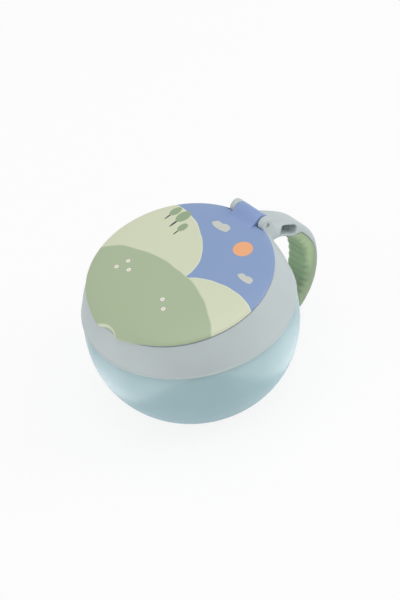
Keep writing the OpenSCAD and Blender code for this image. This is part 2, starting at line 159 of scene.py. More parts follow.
def prism(name, outline, low, high, upright=False):
    # outline of (y, z) and solid along X, or upright: outline of (x, y) and solid along Z
    piece = startLine(name, [(a, b, low) if upright else (low, a, b) for a, b in outline])
    bpy.ops.mesh.edge_face_add()
    step = (0, 0, (high - low) * mm) if upright else ((high - low) * mm, 0, 0)
    bpy.ops.mesh.extrude_region_move(TRANSFORM_OT_translate={"value": step})
    bpy.ops.mesh.select_all(action="SELECT")
    bpy.ops.mesh.normals_make_consistent(inside=False)
    bpy.ops.object.mode_set(mode="OBJECT")
    return piece


def roller(name, radius, low, high, place, sides=64):  # cylinder along X between two places, in mm
    bpy.ops.mesh.primitive_cylinder_add(
        vertices=sides, radius=radius * mm, depth=(high - low) * mm, rotation=(0, math.pi / 2, 0),
        location=((low + high) / 2 * mm, place[0] * mm, place[1] * mm))
    piece = bpy.context.object
    piece.name = name
    bpy.ops.object.transform_apply(location=True, rotation=True, scale=True)
    return piece


def evenly(start, end, count):
    return [start + (end - start) * i / count for i in range(count + 1)]


def arcPoints(centre, radius, start, end, count):
    turns = [math.radians(a) for a in evenly(start, end, count)]
    return [(centre[0] + radius * math.cos(a), centre[1] + radius * math.sin(a)) for a in turns]


# Bowl: a thin round body with a foot ring and a threaded neck

bowl = {"radius": 50, "belly": 40, "base": 28, "power": 2.2, "wall": 2.2, "floor": 2.6, "drop": 46.42,
        "shoulder": 48.5, "shoulderHeight": 42, "neckOut": 43.54, "neckIn": 41.54, "rim": 58.404,
        "threadLow": 52.46, "footDeep": 0.7, "footWide": 2.4}


def bowlSide(radius, drop, low, count=40):  # superellipse from the height low up to the belly
    power = bowl["power"]
    start = math.asin(((bowl["belly"] - low) / drop) ** (power / 2))
    turns = [start * (1 - i / count) for i in range(count + 1)]
    return [(radius * math.cos(a) ** (2 / power), bowl["belly"] - drop * math.sin(a) ** (2 / power))
            for a in turns]


def bowlShoulder(z):
    return bowl["radius"] * math.sqrt(1 - ((z - bowl["belly"]) / bowl["shoulderHeight"]) ** 2)


outerSide = bowlSide(bowl["radius"], bowl["drop"], 0)
innerRadius = bowl["radius"] - bowl["wall"]
innerSide = bowlSide(innerRadius, bowl["drop"] - bowl["wall"], bowl["floor"])
shoulderTop = bowlShoulder(bowl["shoulder"])
foot = bowl["base"] - bowl["footWide"]
bowlLine = (
    [(0, bowl["footDeep"]), (foot - 0.8, bowl["footDeep"]), (foot - 0.2, bowl["footDeep"] - 0.15),
     (foot + 0.1, 0.25), (foot + 0.5, 0), (bowl["base"] - 0.6, 0), (bowl["base"] + 0.15, 0.14)]
    + outerSide[1:]
    + [(bowlShoulder(z), z) for z in (42, 44, 46, 47.4)]
    + arcPoints((shoulderTop - 0.55, bowl["shoulder"] - 0.6), 0.6, 0, 90, 5)
    + [(bowl["neckOut"] + 0.9, bowl["shoulder"])]
    + arcPoints((bowl["neckOut"] + 0.6, bowl["shoulder"] + 0.6), 0.6, 270, 180, 4)
    + arcPoints((bowl["neckOut"] - 0.5, bowl["rim"] - 0.5), 0.5, 0, 90, 4)
    + arcPoints((bowl["neckIn"] + 0.5, bowl["rim"] - 0.5), 0.5, 90, 180, 4)
    + [(bowl["neckIn"] + (innerRadius - bowl["neckIn"]) * math.cos(math.radians(a)) ** 0.5,
        bowl["belly"] + (bowl["shoulder"] - bowl["wall"] - bowl["belly"]) * math.sin(math.radians(a)) ** 0.5)
       for a in range(90, 0, -6)]
    + innerSide[::-1] + [(0, bowl["floor"])]
)
bowlBody = smoothShade(lathe("bowlBody", bowlLine, closed=False), 40)
print("bowl body:", len(bowlBody.data.vertices), "vertices")


thread = {"lead": 8, "starts": 2, "high": 1.3, "root": 1.8, "crest": 0.8, "sunk": 0.3, "round": 0.2}


def threadRidges(name, wallRadius, out, height, lag, span):  # out: 1 on the outside of a wall, -1 in a bore
    foot, crest = wallRadius - thread["sunk"] * out, wallRadius + thread["high"] * out
    ridges = []
    for start in range(0, 360, 360 // thread["starts"]):
        line = [(foot, -thread["root"] / 2), (crest, -thread["crest"] / 2),
                (crest, thread["crest"] / 2), (foot, thread["root"] / 2)]
        ridge = startLine(name, [(r, 0, z) for r, z in line + line[:1]])
        bpy.ops.mesh.remove_doubles(threshold=0.0005 * mm)
        bpy.ops.object.mode_set(mode="OBJECT")
        finishWith(ridge, "SCREW", angle=math.radians(span), screw_offset=thread["lead"] * span / 360 * mm,
                   steps=span // 4, render_steps=span // 4, use_merge_vertices=False)
        bpy.ops.object.mode_set(mode="EDIT")
        bpy.ops.mesh.select_all(action="SELECT")
        bpy.ops.mesh.remove_doubles(threshold=0.0005 * mm)
        bpy.ops.mesh.select_mode(type="EDGE")
        bpy.ops.mesh.select_all(action="DESELECT")
        bpy.ops.mesh.select_non_manifold()
        bpy.ops.mesh.edge_face_add()
        bpy.ops.mesh.select_all(action="SELECT")
        bpy.ops.mesh.normals_make_consistent(inside=False)
        bpy.ops.object.mode_set(mode="OBJECT")
        roundEdges(ridge, thread["round"], 2, 35)
        settle(ridge, (0, 0, height + thread["lead"] * lag / 360), (0, 0, start + lag))
        ridges.append(smoothShade(ridge))
    pickOnly(ridges[0])
    ridges[1].select_set(True)
    bpy.ops.object.join()
    return bpy.context.object


bowlThread = threadRidges("bowlThread", bowl["neckOut"], 1, bowl["threadLow"], 0, 200)
print("bowl thread made")

# Collar: domed ring with a rounded lower lip, cut on the slope of the lid's seam

collar = {"radius": 50.4, "crown": 56, "lip": 48.8, "bead": 0.62, "beadOut": 0.24, "lipFlat": 1.4,
          "bore": 45.34, "boreTop": 51.6, "flangeLow": 60.104, "flangeHigh": 62.004, "mouth": 37.5,
          "wall": 2.3, "top": 75.99, "threadLow": 50.46, "round": 0.22}
seam = {"middle": (0, -2.0885, 67.7947), "tilt": 5.3}


def domeRadius(z):
    return collar["radius"] * math.sqrt(1 - ((z - bowl["belly"]) / collar["crown"]) ** 2)


collarSide = [(domeRadius(z), z) for z in evenly(collar["lip"] + 1.6, collar["top"], 40)]
collarInside = [(domeRadius(z) - collar["wall"], z)
                for z in evenly(collar["flangeHigh"] + 0.5, collar["flangeHigh"] + 13, 16)]
lipOut = domeRadius(collar["lip"])
beadMiddle = (lipOut + collar["beadOut"] - collar["bead"], collar["lip"] + collar["bead"])
flangeEdge = collarInside[0][0]
collarLine = (
    [(lipOut - collar["lipFlat"] + 0.3, collar["lip"])]
    + arcPoints(beadMiddle, collar["bead"], 270, 415, 12)
    + collarSide + collarInside[::-1]
    + [(flangeEdge - 0.1, collar["flangeHigh"] + 0.15), (flangeEdge - 0.5, collar["flangeHigh"])]
    + arcPoints((collar["mouth"] + 0.6, collar["flangeHigh"] - 0.6), 0.6, 90, 180, 5)
    + arcPoints((collar["mouth"] + 0.6, collar["flangeLow"] + 0.6), 0.6, 180, 270, 5)
    + [(collar["bore"] - 0.4, collar["flangeLow"]), (collar["bore"], collar["flangeLow"] - 0.4),
       (collar["bore"], collar["boreTop"])]
)
collarShell = lathe("collarShell", collarLine)
bpy.ops.mesh.primitive_cube_add(size=200 * mm, location=(0, 0, 100 * mm))  # everything above the lid's seam
bpy.ops.object.transform_apply(location=True, rotation=True, scale=True)
combine(collarShell, settle(bpy.context.object, seam["middle"], (seam["tilt"], 0, 0)))
hinge = {"axis": (42.5639, 73.5349), "barrel": 3.6, "pin": 1.2, "knuckle": 14.8, "earIn": 7.8, "earOut": 11.2,
         "earDepth": 9, "earSpread": 1.6, "pinRecess": 0.6}
reach = hinge["barrel"] + room["hinge"]
combine(collarShell, roller("knuckleRoom", reach, -hinge["earIn"], hinge["earIn"], hinge["axis"]))
smoothShade(roundEdges(collarShell, collar["round"], 2, 50))
collarThread = threadRidges("collarThread", collar["bore"], -1, collar["threadLow"], 45, 180)
print("collar made:", len(collarShell.data.vertices), "vertices")

# Handle: a straight bar of rounded section, bent along its path, with the two ears of the hinge

handle = {"root": (41.897, 66.088), "rootPull": (14.5, -5.6), "middle": (69.7, 36), "pullUp": 15.5,
          "pullDown": 14, "tip": (52.4, 8), "tipPull": (11, 4.2), "width": 14.5, "rootWidth": 22,
          "thick": 7.6, "rootBlend": 0.42, "gripStart": 0.5, "gripEnd": 1.86, "gripThick": 1.6,
          "ribs": 13, "ribHigh": 0.6, "tipRound": 0.12, "slotAt": 0.362, "slotLong": 12.2, "slotHigh": 4.6,
          "slotCorner": 1.4, "slotLift": 0.2, "earRound": 0.55, "voxel": 0.36, "gripVoxel": 0.3}


def addPull(point, pull):
    return (point[0] + pull[0], point[1] + pull[1])


pathRoot = [handle["root"], addPull(handle["root"], handle["rootPull"]),
            addPull(handle["middle"], (0, handle["pullUp"])), handle["middle"]]
pathTip = [handle["middle"], addPull(handle["middle"], (0, -handle["pullDown"])),
           addPull(handle["tip"], handle["tipPull"]), handle["tip"]]


def pathPoint(s):  # 0 at the root, 1 at the farthest place, 2 at the tip
    points, t = (pathRoot, s) if s < 1 else (pathTip, s - 1)
    parts = ((1 - t) ** 3, 3 * t * (1 - t) ** 2, 3 * t * t * (1 - t), t ** 3)
    return tuple(sum(k * p[i] for k, p in zip(parts, points)) for i in (0, 1))


def ramp(u):
    return 0 if u <= 0 else 1 if u >= 1 else u * u * (3 - 2 * u)


fine = 400
places = [pathPoint(2 * i / fine) for i in range(fine + 1)]
along = [0.0]
for before, after in zip(places, places[1:]):
    along.append(along[-1] + math.dist(before, after))


def distanceAt(s):  # length along the path, in mm
    place = s / 2 * fine
    i = min(int(place), fine - 1)
    return along[i] + (along[i + 1] - along[i]) * (place - i)


def tipScale(s):
    u = (s - 2 + handle["tipRound"]) / handle["tipRound"]
    return math.sqrt(1 - 0.9 * u * u) if u > 0 else 1


def halfWidth(s):
    extra = (handle["rootWidth"] - handle["width"]) * (1 - ramp(s / handle["rootBlend"]))
    return tipScale(s) * (handle["width"] + extra) / 2


def bar(name, stations, thin, ribbed):
    # straight along X: a rounded section, extruded and resized at each station, thinner by thin all round
    start = distanceAt(stations[0])
    bpy.ops.mesh.primitive_plane_add(size=1, rotation=(0, math.pi / 2, 0), location=(start * mm, 0, 0))
    piece = bpy.context.object
    piece.name = name
    bpy.ops.object.transform_apply(location=True, rotation=True, scale=True)
    bpy.ops.object.mode_set(mode="EDIT")
    bpy.ops.mesh.select_mode(type="VERT")
    bpy.ops.mesh.select_all(action="SELECT")
    first = halfWidth(stations[0]) - thin, handle["thick"] / 2 * tipScale(stations[0]) - thin
    bpy.ops.transform.resize(value=(1, 2 * first[0] * mm, 2 * first[1] * mm), center_override=(0, 0, 0))
    bpy.ops.mesh.select_all(action="SELECT")
    bpy.ops.mesh.bevel(offset=min(first) * 0.92 * mm, offset_type="OFFSET", segments=10, profile=0.56,
                       affect="VERTICES")
    wide, thick, x = first[0], 2 * first[1], start
    for s in stations[1:]:
        u = (s - stations[0]) / (stations[-1] - stations[0])
        wave = 0.5 - 0.5 * math.cos(2 * math.pi * handle["ribs"] * u)
        rib = handle["ribHigh"] * wave * ramp(12 * u) * ramp(12 * (1 - u)) if ribbed else 0
        nextX, nextWide = distanceAt(s), halfWidth(s) - thin
        nextThick = handle["thick"] * tipScale(s) - 2 * thin + rib
        bpy.ops.mesh.extrude_region_move(TRANSFORM_OT_translate={"value": ((nextX - x) * mm, 0, 0)})
        bpy.ops.transform.resize(value=(1, nextWide / wide, 1), center_override=(nextX * mm, 0, 0))
        outer = (handle["thick"] / 2 - thin) * mm if ribbed else 0
        bpy.ops.transform.resize(value=(1, 1, nextThick / thick), center_override=(nextX * mm, 0, outer))
        x, wide, thick = nextX, nextWide, nextThick
    bpy.ops.mesh.select_all(action="SELECT")
    bpy.ops.mesh.normals_make_consistent(inside=False)
    bpy.ops.object.mode_set(mode="OBJECT")
    return piece


def bendAlongPath(piece):
    bpy.ops.curve.primitive_bezier_curve_add(radius=mm)
    path = bpy.context.object
    spline = path.data.splines[0]
    spline.bezier_points.add(1)
    path.data.resolution_u = 96
    path.data.twist_mode = "MINIMUM"
    shape = ((pathRoot[0], None, pathRoot[1]), (pathRoot[3], pathRoot[2], pathTip[1]),
             (pathTip[3], pathTip[2], None))
    for point, (place, left, right) in zip(spline.bezier_points, shape):
        point.handle_left_type = point.handle_right_type = "FREE"
        point.co = (0, place[0] * mm, place[1] * mm)
        point.handle_left = (0, (left or place)[0] * mm, (left or place)[1] * mm)
        point.handle_right = (0, (right or place)[0] * mm, (right or place)[1] * mm)
    finishWith(piece, "CURVE", object=path, deform_axis="POS_X")
    bpy.data.objects.remove(path)
    return piece


def splitHeight(s):  # where the grip's edge lies on the handle's side, in mm from the middle line
    beyond = s - handle["gripStart"]
    return (-0.86 + 0.95 * ramp(beyond / 0.12) + 0.55 * ramp((beyond - 0.18) / 0.49)) * handle["thick"] / 2


def gripBlock(name, grow):  # the part of the straight bar that the grip covers, from its split line inwards
    start, end = handle["gripStart"], handle["gripEnd"]
    line = [(distanceAt(s), splitHeight(s) + grow) for s in evenly(start, end, 120)]
    low = -handle["thick"]
    outline = [(line[0][0] - grow, low)] + [(line[0][0] - grow, line[0][1])] + line[1:-1]
    outline += [(line[-1][0] + grow, line[-1][1]), (line[-1][0] + grow, low)]
    block = prism(name, outline, -handle["rootWidth"], handle["rootWidth"])
    return settle(block, turn=(0, 0, -90))


tipStart = 2 - handle["tipRound"]  # stations lie closer together round the tip
handleStations = evenly(0.0, tipStart - 0.02, 90)
handleStations += [tipStart + 0.1199 * math.sin(a) for a in evenly(0, math.pi / 2, 14)]
handleCore = bar("handleCore", handleStations, 0, False)
combine(handleCore, gripBlock("gripBed", 0.0))
past = 0.04  # how far the grip's blanks run past its ends, in path steps
gripLow, gripHigh = handle["gripStart"] - past, handle["gripEnd"] + past
combine(handleCore, bar("lining", evenly(gripLow, gripHigh, 60), handle["gripThick"], False), "UNION")
handleGrip = bar("handleGrip", evenly(gripLow, gripHigh, 14 * handle["ribs"]), 0, True)
combine(handleGrip, gripBlock("gripShape", -0.12), "INTERSECT")
hollowStations = evenly(gripLow - past, gripHigh + past, 60)
combine(handleGrip, bar("gripHollow", hollowStations, handle["gripThick"] - 0.02, False))
bendAlongPath(handleCore)
bendAlongPath(handleGrip)
print("handle bars bent")

slotPlace = pathPoint(handle["slotAt"])
before, after = pathPoint(handle["slotAt"] - 0.001), pathPoint(handle["slotAt"] + 0.001)
slotTurn = math.degrees(math.atan2(after[1] - before[1], after[0] - before[0]))


def strapSlot(name):
    long, high, corner = handle["slotLong"] / 2, handle["slotHigh"] / 2, handle["slotCorner"]
    outline = []
    for sy, sz, start in ((1, 1, 0), (-1, 1, 90), (-1, -1, 180), (1, -1, 270)):
        outline += arcPoints((sy * (long - corner), sz * (high - corner)), corner, start, start + 90, 6)
    hole = prism(name, outline, -12, 12)
    return settle(hole, (0, slotPlace[0], slotPlace[1] + handle["slotLift"]), (slotTurn, 0, 0))


combine(handleCore, strapSlot("strapSlot"))
inside = [(domeRadius(z) - 1.0, z) for z in evenly(55, 75.9, 24)]
combine(handleCore, lathe("collarInside", [(0, 55)] + inside + [(0, 75.9)], closed=False))


def ear(name, low, high):  # barrel and foot in one outline
    y, z = hinge["axis"]
    r, deep = hinge["barrel"], hinge["earDepth"]
    outline = arcPoints((y, z), r, 0, 206, 26)
    outline += [(y + 0.5, z - deep), (y + r + hinge["earSpread"], z - deep)]
    piece = prism(name, outline, low, high)
    return roundEdges(piece, handle["earRound"], 3, 40)


# patch of the collar's surface, so that the remesh rounds the corner where the handle leaves it
patch = [(domeRadius(z) - 0.1, z) for z in evenly(56, 70.4, 20)]
rootPatch = lathe("rootPatch", patch + [(r - 1.3, z) for r, z in patch[::-1]])
bpy.ops.mesh.primitive_cube_add(size=1, location=(0, 48 * mm, 62.4 * mm), scale=(34 * mm, 30 * mm, 11 * mm))
bpy.context.object.name = "patchRoom"
bpy.ops.object.transform_apply(location=True, rotation=True, scale=True)
combine(rootPatch, bpy.context.object, "INTERSECT")
handleMoulding = handleCore
handleMoulding.name = "handleMoulding"
ears = [ear("earRight", hinge["earIn"], hinge["earOut"]), ear("earLeft", -hinge["earOut"], -hinge["earIn"])]
pickOnly(handleMoulding)
for piece in ears + [rootPatch]:
    piece.select_set(True)
bpy.ops.object.join()
finishWith(handleMoulding, "REMESH", mode="VOXEL", voxel_size=handle["voxel"] * mm, adaptivity=0.0)
finishWith(handleMoulding, "SMOOTH", factor=0.5, iterations=16)
combine(handleMoulding, roller("knuckleSpace", reach, -hinge["earIn"], hinge["earIn"], hinge["axis"], 96))
combine(handleMoulding, roller("pinHole", hinge["pin"] + 0.02, -14, 14, hinge["axis"], 40))
smoothShade(handleMoulding, 40)
print("handle moulding made:", len(handleMoulding.data.vertices), "vertices")

finishWith(handleGrip, "REMESH", mode="VOXEL", voxel_size=handle["gripVoxel"] * mm, adaptivity=0.0)
finishWith(handleGrip, "SMOOTH", factor=0.5, iterations=7)
smoothShade(handleGrip, 60)
print("grip made:", len(handleGrip.data.vertices), "vertices")

pinHalf = hinge["earOut"] - hinge["pinRecess"]
hingePin = roundEdges(roller("hingePin", hinge["pin"], -pinHalf, pinHalf, hinge["axis"], 40), 0.2, 3, 40)
pickFaces(hingePin, lambda place, normal: abs(normal.x) > 0.95)
bpy.ops.mesh.inset(thickness=0.3 * mm, depth=-0.15 * mm)
bpy.ops.object.mode_set(mode="OBJECT")
smoothShade(hingePin)

# Lid: domed disc with a tab and a thumb scoop at the front, and the knuckle and tongue at the back

lid = {"radius": 43.739, "dome": 4.2, "power": 2.3, "edge": 0.5, "thick": 2.1, "skirtOut": 40.839,
       "skirtDeep": 1.3, "skirtThick": 1.6, "tabRadius": 32.862, "tabY": -12.177, "tabRise": 3.2,
       "tabLow": -0.1, "tabOut": 1.3, "scoopRadius": 10.692, "scoopDeep": 2.4, "tongue": 8.0,
       "tongueDrop": 2.72, "bead": 0.2, "round": 0.25, "knuckleRound": 0.3, "pinRoom": 0.06, "notchIn": 0.06}
lidBase = room["seam"] + lid["edge"]


def lidDome(radius, rise, low=lidBase, count=44):
    turns = [math.radians(90 * i / count) for i in range(count + 1)]
    return [(radius * math.sin(a) ** (2 / lid["power"]), low + rise * abs(math.cos(a)) ** (2 / lid["power"]))
            for a in turns]


def lidShell(name, radius, rise, low):  # domed disc, its underside at the height low in the middle
    top = [p for p in lidDome(radius, rise) if p[0] < radius - 0.02]
    under = [(radius, lidBase - 0.05), (radius - 0.05, low + 0.32), (radius - 0.6, low + 0.2), (0, low)]
    return lathe(name, top + under, closed=False)


lidBody = lidShell("lidBody", lid["radius"], lid["dome"], room["seam"])
tab = settle(lidShell("tab", lid["tabRadius"], lid["tabRise"], lid["tabLow"]), (0, lid["tabY"], 0))
combine(lidBody, tab, "UNION")
innerRadius = lid["skirtOut"] - lid["skirtThick"]
skirt = lathe("skirt", [(lid["skirtOut"], 0.7), (lid["skirtOut"], 0.75 - lid["skirtDeep"]),
                        (lid["skirtOut"] + lid["bead"], 0.5 - lid["skirtDeep"]),
                        (lid["skirtOut"] + 0.6 * lid["bead"], 0.2 - lid["skirtDeep"]),
                        (lid["skirtOut"] - 0.3, -lid["skirtDeep"]), (innerRadius + 0.3, -lid["skirtDeep"]),
                        (innerRadius - 0.5, 0.7)])
combine(lidBody, skirt, "UNION")
hollow = lidDome(innerRadius, lid["dome"] + lid["edge"] - lid["thick"], room["seam"])
hollow += [(innerRadius, -0.9), (innerRadius + 0.4, -1.9), (0, -1.9)]
combine(lidBody, lathe("hollow", hollow, closed=False))
scoopPlace = lid["scoopDeep"] - lid["radius"] - lid["tabOut"] - lid["scoopRadius"]
bpy.ops.mesh.primitive_cylinder_add(vertices=160, radius=lid["scoopRadius"] * mm, depth=30 * mm,
                                    location=(0, scoopPlace * mm, 0))
scoop = bpy.context.object
bpy.ops.object.transform_apply(location=True, rotation=True, scale=True)
combine(lidBody, scoop)
mergeClose(lidBody)
mergeClose(roundEdges(lidBody, lid["round"], 2, 42))
settle(lidBody, seam["middle"], (seam["tilt"], 0, 0))
notchStart, notchEnd = hinge["knuckle"] / 2 - lid["notchIn"], hinge["earOut"] + room["hinge"]
for low, high in ((notchStart, notchEnd), (-notchEnd, -notchStart)):
    combine(lidBody, roller("earNotch", reach, low, high, hinge["axis"], 96))
axisY, axisZ = hinge["axis"]
topLine = [(axisY - lid["tongue"] * u, axisZ + hinge["barrel"] - lid["tongueDrop"] * ramp(u))
           for u in evenly(1, 0.04, 12)]
barrelLine = arcPoints(hinge["axis"], hinge["barrel"], 90, -155, 44)
knuckle = prism("knuckle", barrelLine + [(axisY - lid["tongue"], axisZ)] + topLine,
                -hinge["knuckle"] / 2, hinge["knuckle"] / 2)
combine(lidBody, roundEdges(knuckle, lid["knuckleRound"], 2, 42), "UNION")
combine(lidBody, roller("pinBore", hinge["pin"] + lid["pinRoom"], -9, 9, hinge["axis"], 40))
smoothShade(mergeClose(lidBody), 30)
print("lid made:", len(lidBody.data.vertices), "vertices")

# Printed film: the lid's upper faces, copied and given a thickness

tilt = math.radians(seam["tilt"])


def inLid(place):  # a place in mm, seen from the lid's own middle and slope
    y, z = place[1] - seam["middle"][1], place[2] - seam["middle"][2]
    return place[0], y * math.cos(tilt) + z * math.sin(tilt), z * math.cos(tilt) - y * math.sin(tilt)


def onPrint(place, normal):
    x, y, z = inLid(place)
    nearTongue = abs(x) < hinge["knuckle"] / 2 + 0.3 and place[1] > axisY - lid["tongue"] - 0.35
    nearEars = abs(x) < hinge["earOut"] + 1 and place[1] > axisY - reach - 0.6
    skirtSide = math.hypot(x, y) < lid["skirtOut"] - 4 and normal.z < 0.3
    return normal.z > -0.3 and z > 0.42 and not nearTongue and not nearEars and not skirtSide


pickFaces(lidBody, onPrint)
bpy.ops.mesh.duplicate()
bpy.ops.mesh.separate(type="SELECTED")
bpy.ops.object.mode_set(mode="OBJECT")
lidFilm = [piece for piece in bpy.context.selected_objects if piece is not lidBody][0]
lidFilm.name = "lidFilm"
finishWith(lidFilm, "SOLIDIFY", thickness=0.12 * mm, offset=0.6, use_even_offset=False)
smoothShade(lidFilm, 30)
print("printed film made:", len(lidFilm.data.vertices), "vertices")

# Flap guard: a soft ring with eight leaves, each on its own fold

guard = {"fold": 28.4, "flapThick": 1.2, "slit": 0.6, "flapMiddle": 59.2044, "rim": 58.404, "top": 60.004,
         "rimOut": 44.74, "plugOut": 41.24, "plugIn": 39.94, "plugLow": 56.604, "opening": 29.3,
         "webIn": 26.0, "ledgeOut": 38.5, "ledgeIn": 37.0, "flaps": 8, "round": 0.25}
webLow, webHigh = guard["flapMiddle"] - guard["flapThick"] / 2, guard["flapMiddle"] + guard["flapThick"] / 2
flapRing = lathe("flapRing", [
    (guard["webIn"], webLow), (guard["plugIn"], webLow), (guard["plugIn"], guard["plugLow"]),
    (guard["plugOut"], guard["plugLow"]), (guard["plugOut"], guard["rim"]), (guard["rimOut"], guard["rim"]),
    (guard["rimOut"], guard["top"]), (guard["ledgeOut"], guard["top"]), (guard["ledgeIn"], webHigh),
    (guard["webIn"], webHigh)])
halfAngle = 180 / guard["flaps"]
half = math.radians(halfAngle)
octagon = arcPoints((0, 0), guard["opening"] / math.cos(half), halfAngle, halfAngle + 315, 7)
combine(flapRing, prism("opening", octagon, webLow - 2, webHigh + 2, upright=True))
smoothShade(roundEdges(flapRing, guard["round"], 3, 35))

foldHalf = guard["fold"] * math.tan(half) - guard["slit"] / 2 / math.cos(half)
leafTip = guard["slit"] / 2 / math.sin(half)
leafOutline = [(-foldHalf, guard["fold"]), (foldHalf, guard["fold"]),
               (0.25, leafTip + 0.6), (0, leafTip + 0.45), (-0.25, leafTip + 0.6)]
leaf = roundEdges(prism("leaf", leafOutline, webLow, webHigh, upright=True), guard["round"], 3, 35)
bead = roller("bead", guard["flapThick"] / 2, -foldHalf, foldHalf, (guard["fold"], guard["flapMiddle"]), 32)
combine(leaf, bead, "UNION")
smoothShade(leaf)
leaves = []
for i in range(guard["flaps"]):
    copy = leaf.copy()
    copy.data = leaf.data.copy()
    copy.name = "guardFlap%d" % (i + 1)
    scene.collection.objects.link(copy)
    leaves.append(settle(copy, turn=(0, 0, -2 * halfAngle * i)))
bpy.data.objects.remove(leaf)
print("guard made:", len(leaves), "flaps")

# Materials

def linearColour(hexColour):  # sRGB hex to the linear values that Blender mixes in
    parts = [int(hexColour[i:i + 2], 16) / 255 for i in (1, 3, 5)]
    return [c / 12.92 if c <= 0.04045 else ((c + 0.055) / 1.055) ** 2.4 for c in parts] + [1.0]


def addNode(tree, kind, settings=None, links=None):  # settings on the node or its sockets, links into it
    made = tree.nodes.new(kind)
    for key, value in (settings or {}).items():
        if isinstance(key, int) or key in made.inputs:
            made.inputs[key].default_value = value
        else:
            setattr(made, key, value)
    for key, source in (links or {}).items():
        tree.links.new(source, made.inputs[key])
    return made


def startMaterial(name):
    made = bpy.data.materials.new(name)
    made.use_nodes = True
    made.node_tree.nodes.clear()
    return made, made.node_tree


def perMetre(size):  # a feature size in mm as a texture scale
    return 1 / (size * mm)


def mouldedPlastic(name, look):
    made, tree = startMaterial(name)
    place = addNode(tree, "ShaderNodeTexCoord").outputs["Object"]
    slow = addNode(tree, "ShaderNodeTexNoise", {"Scale": perMetre(look["cloud"]), "Detail": 2.0},
                   {"Vector": place})
    grain = addNode(tree, "ShaderNodeTexNoise", {"Scale": perMetre(look["grain"]), "Detail": 3.0},
                    {"Vector": place})
    tone = addNode(tree, "ShaderNodeMapRange", {"From Min": 0.35, "From Max": 0.65},
                   {"Value": slow.outputs["Fac"]})
    colour = addNode(tree, "ShaderNodeMix", {"data_type": "RGBA", 6: linearColour(look["colour"]),
                                             7: linearColour(look["second"])},
                     {"Factor": tone.outputs[0]}).outputs[2]
    if "paintedLightInside" in look:  # painted light: a paler colour inside the bend of the handle, where the grip's inner face lies in shade
        paintedLightInside = look["paintedLightInside"]
        flat = addNode(tree, "ShaderNodeVectorMath", {"operation": "MULTIPLY", 1: (0, 1, 1)}, {0: place})
        far = addNode(tree, "ShaderNodeVectorMath",
                      {"operation": "DISTANCE", 1: [v * mm for v in paintedLightInside["middle"]]}, {0: flat.outputs[0]})
        keep = addNode(tree, "ShaderNodeMapRange",
                       {"From Min": paintedLightInside["inner"] * mm, "From Max": paintedLightInside["outer"] * mm},
                       {"Value": far.outputs["Value"]})
        colour = addNode(tree, "ShaderNodeMix", {"data_type": "RGBA", 6: linearColour(paintedLightInside["colour"])},
                         {"Factor": keep.outputs[0], 7: colour}).outputs[2]
    streak = addNode(tree, "ShaderNodeMapping", {"Scale": (1, 1, 6)}, {"Vector": place})
    scuff = addNode(tree, "ShaderNodeTexNoise", {"Scale": perMetre(3), "Detail": 6.0, "Roughness": 0.7},
                    {"Vector": streak.outputs[0]})
    smoothest, roughest = look["rough"]
    rough = addNode(tree, "ShaderNodeMapRange",
                    {"From Min": 0.3, "From Max": 0.75, "To Min": smoothest, "To Max": roughest},
                    {"Value": scuff.outputs["Fac"]})
    relief = addNode(tree, "ShaderNodeBump", {"Strength": look["bump"], "Distance": look["deep"] * mm},
                     {"Height": grain.outputs["Fac"]})
    shader = addNode(tree, "ShaderNodeBsdfPrincipled", {"IOR": look["ior"], **look.get("shader", {})},
                     {"Base Color": colour, "Roughness": rough.outputs[0], "Normal": relief.outputs[0]})
    addNode(tree, "ShaderNodeOutputMaterial", links={"Surface": shader.outputs[0]})
    return made


# injection-moulded clear-tinted polypropylene, polished mould: glossy, milky, light passes through the wall
bowlPolypropylene = mouldedPlastic("bowlPolypropylene", {
    "colour": "#C4E3E8", "second": "#BEDEE4", "cloud": 30, "grain": 5.0, "bump": 0.05, "deep": 0.05,
    "rough": (0.1, 0.18), "ior": 1.49,
    "shader": {"Transmission Weight": 0.35, "Sheen Weight": 0.5, "Sheen Roughness": 0.45,
               "Sheen Tint": linearColour("#A6D3E4")}})
# injection-moulded polypropylene, fine satin mould: soft highlights and a faint grain
collarPolypropylene = mouldedPlastic("collarPolypropylene", {
    "colour": "#BFC9CA", "second": "#BCC6C7", "cloud": 25, "grain": 0.5, "bump": 0.12, "deep": 0.02,
    "rough": (0.42, 0.52), "ior": 1.49})
# overmoulded thermoplastic elastomer: dull, slightly velvety, darker in its hollows
gripElastomer = mouldedPlastic("gripElastomer", {
    "colour": "#9DB18D", "second": "#97AB87", "cloud": 14, "grain": 0.45, "bump": 0.2, "deep": 0.03,
    "rough": (0.6, 0.75), "ior": 1.5,
    # painted light: a paler colour on the grip's shaded inner face
    "paintedLightInside": {"colour": "#BBD2A3", "middle": (0, 50.5, 37), "inner": 16.5, "outer": 20.5},
    "shader": {"Subsurface Weight": 0.25, "Subsurface Scale": 2 * mm, "Subsurface Radius": (1.0, 1.0, 0.8),
               "Sheen Weight": 0.2, "Sheen Roughness": 0.5}})
# turned acetal rod: waxy, a little glossier than the collar
pinAcetal = mouldedPlastic("pinAcetal", {
    "colour": "#C9CCCB", "second": "#C3C7C6", "cloud": 5, "grain": 0.3, "bump": 0.1, "deep": 0.01,
    "rough": (0.3, 0.4), "ior": 1.48})
# injection-moulded polypropylene, smooth satin
lidPolypropylene = mouldedPlastic("lidPolypropylene", {
    "colour": "#889FCD", "second": "#859CCA", "cloud": 22, "grain": 0.5, "bump": 0.1, "deep": 0.02,
    "rough": (0.34, 0.44), "ior": 1.49})
# liquid-moulded silicone: milky, soft, with a skin-like dullness
guardSilicone = mouldedPlastic("guardSilicone", {
    "colour": "#E3EBEA", "second": "#DDE7E6", "cloud": 18, "grain": 0.6, "bump": 0.12, "deep": 0.02,
    "rough": (0.45, 0.6), "ior": 1.42, "shader": {"Subsurface Weight": 0.3, "Subsurface Scale": 1.5 * mm,
                                                  "Subsurface Radius": (1.0, 1.0, 0.9)}})


